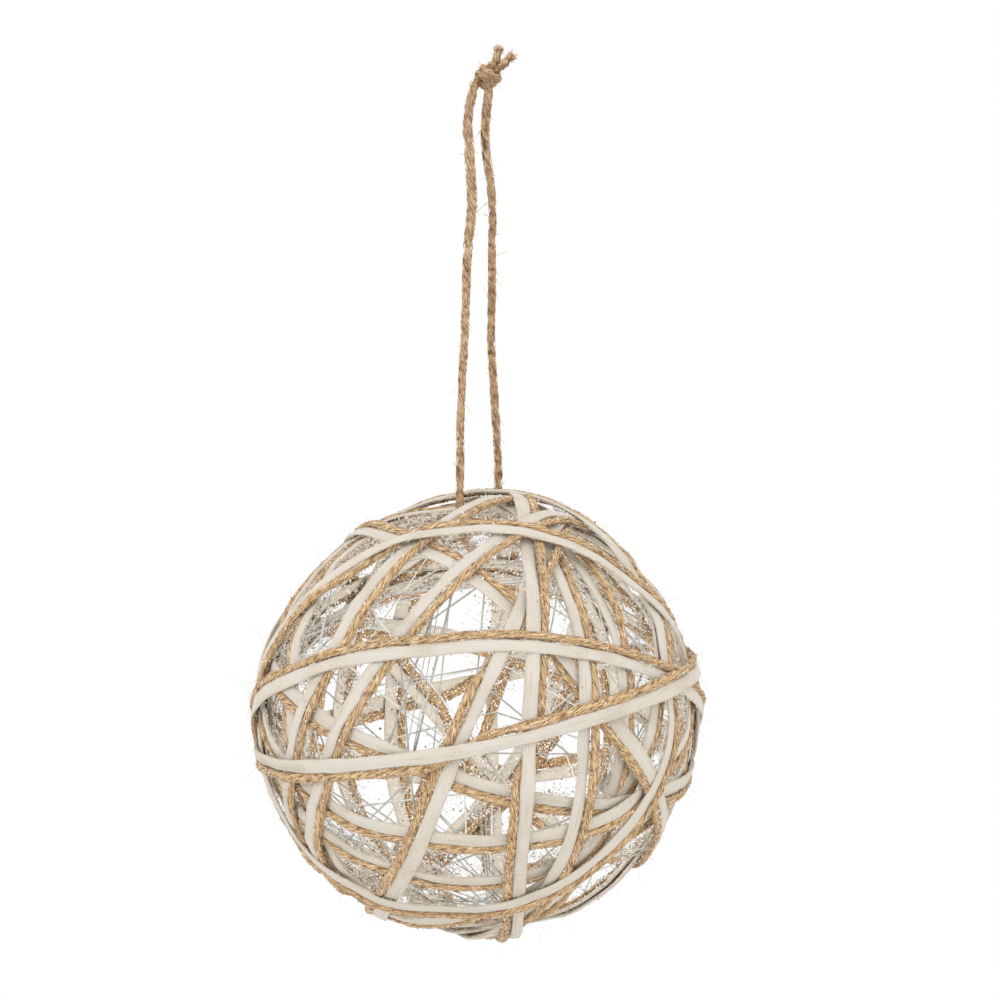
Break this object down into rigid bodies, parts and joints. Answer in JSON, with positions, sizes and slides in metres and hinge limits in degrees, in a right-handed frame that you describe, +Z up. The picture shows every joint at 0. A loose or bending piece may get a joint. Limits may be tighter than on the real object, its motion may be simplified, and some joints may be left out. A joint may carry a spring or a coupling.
{
  "type": "wire christmas bauble",
  "caption": "Round open christmas bauble, a hollow ball wound from flat white cord, jute twine and fine silver wire, hung by a knotted loop of the same twine.",
  "frame": {"origin": "inside the top of the hanging loop, just under its knot, where a twig or a hook carries the bauble", "axes": "+Z up, from the ball's centre to the top of the loop; -Y is the side seen from the front, +X is to the right in that view"},
  "size_m": [0.1066, 0.1026, 0.2033],
  "materials": {
    "white_paper_cord": "matt off-white pressed paper cord",
    "jute_twine": "rough golden-brown natural jute",
    "silver_wire": "dull silver-grey fine wire"
  },
  "bodies": {
    "root": {"white_cord_01": "white_paper_cord", "white_cord_02": "white_paper_cord", "white_cord_03": "white_paper_cord", "white_cord_04": "white_paper_cord", "white_cord_05": "white_paper_cord", "white_cord_06": "white_paper_cord", "white_cord_07": "white_paper_cord", "white_cord_08": "white_paper_cord", "white_cord_09": "white_paper_cord", "white_cord_10": "white_paper_cord", "white_cord_11": "white_paper_cord", "white_cord_12": "white_paper_cord", "white_cord_13": "white_paper_cord", "white_cord_14": "white_paper_cord", "white_cord_15": "white_paper_cord", "white_cord_16": "white_paper_cord", "white_cord_17": "white_paper_cord", "white_cord_18": "white_paper_cord", "jute_twine_01": "jute_twine", "jute_twine_02": "jute_twine", "jute_twine_03": "jute_twine", "jute_twine_04": "jute_twine", "jute_twine_05": "jute_twine", "jute_twine_06": "jute_twine", "jute_twine_07": "jute_twine", "jute_twine_08": "jute_twine", "jute_twine_09": "jute_twine", "jute_twine_10": "jute_twine", "jute_twine_11": "jute_twine", "jute_twine_12": "jute_twine", "jute_twine_13": "jute_twine", "jute_twine_14": "jute_twine", "jute_twine_15": "jute_twine", "jute_twine_16": "jute_twine", "jute_twine_17": "jute_twine", "jute_twine_18": "jute_twine", "silver_wire_1": "silver_wire", "silver_wire_2": "silver_wire", "silver_wire_3": "silver_wire", "silver_wire_4": "silver_wire", "silver_wire_5": "silver_wire", "silver_wire_6": "silver_wire", "loop_strand_front": "jute_twine", "loop_strand_back": "jute_twine", "loop_knot": "jute_twine", "loop_end_left": "jute_twine", "loop_end_right": "jute_twine"}
  },
  "joints": []
}
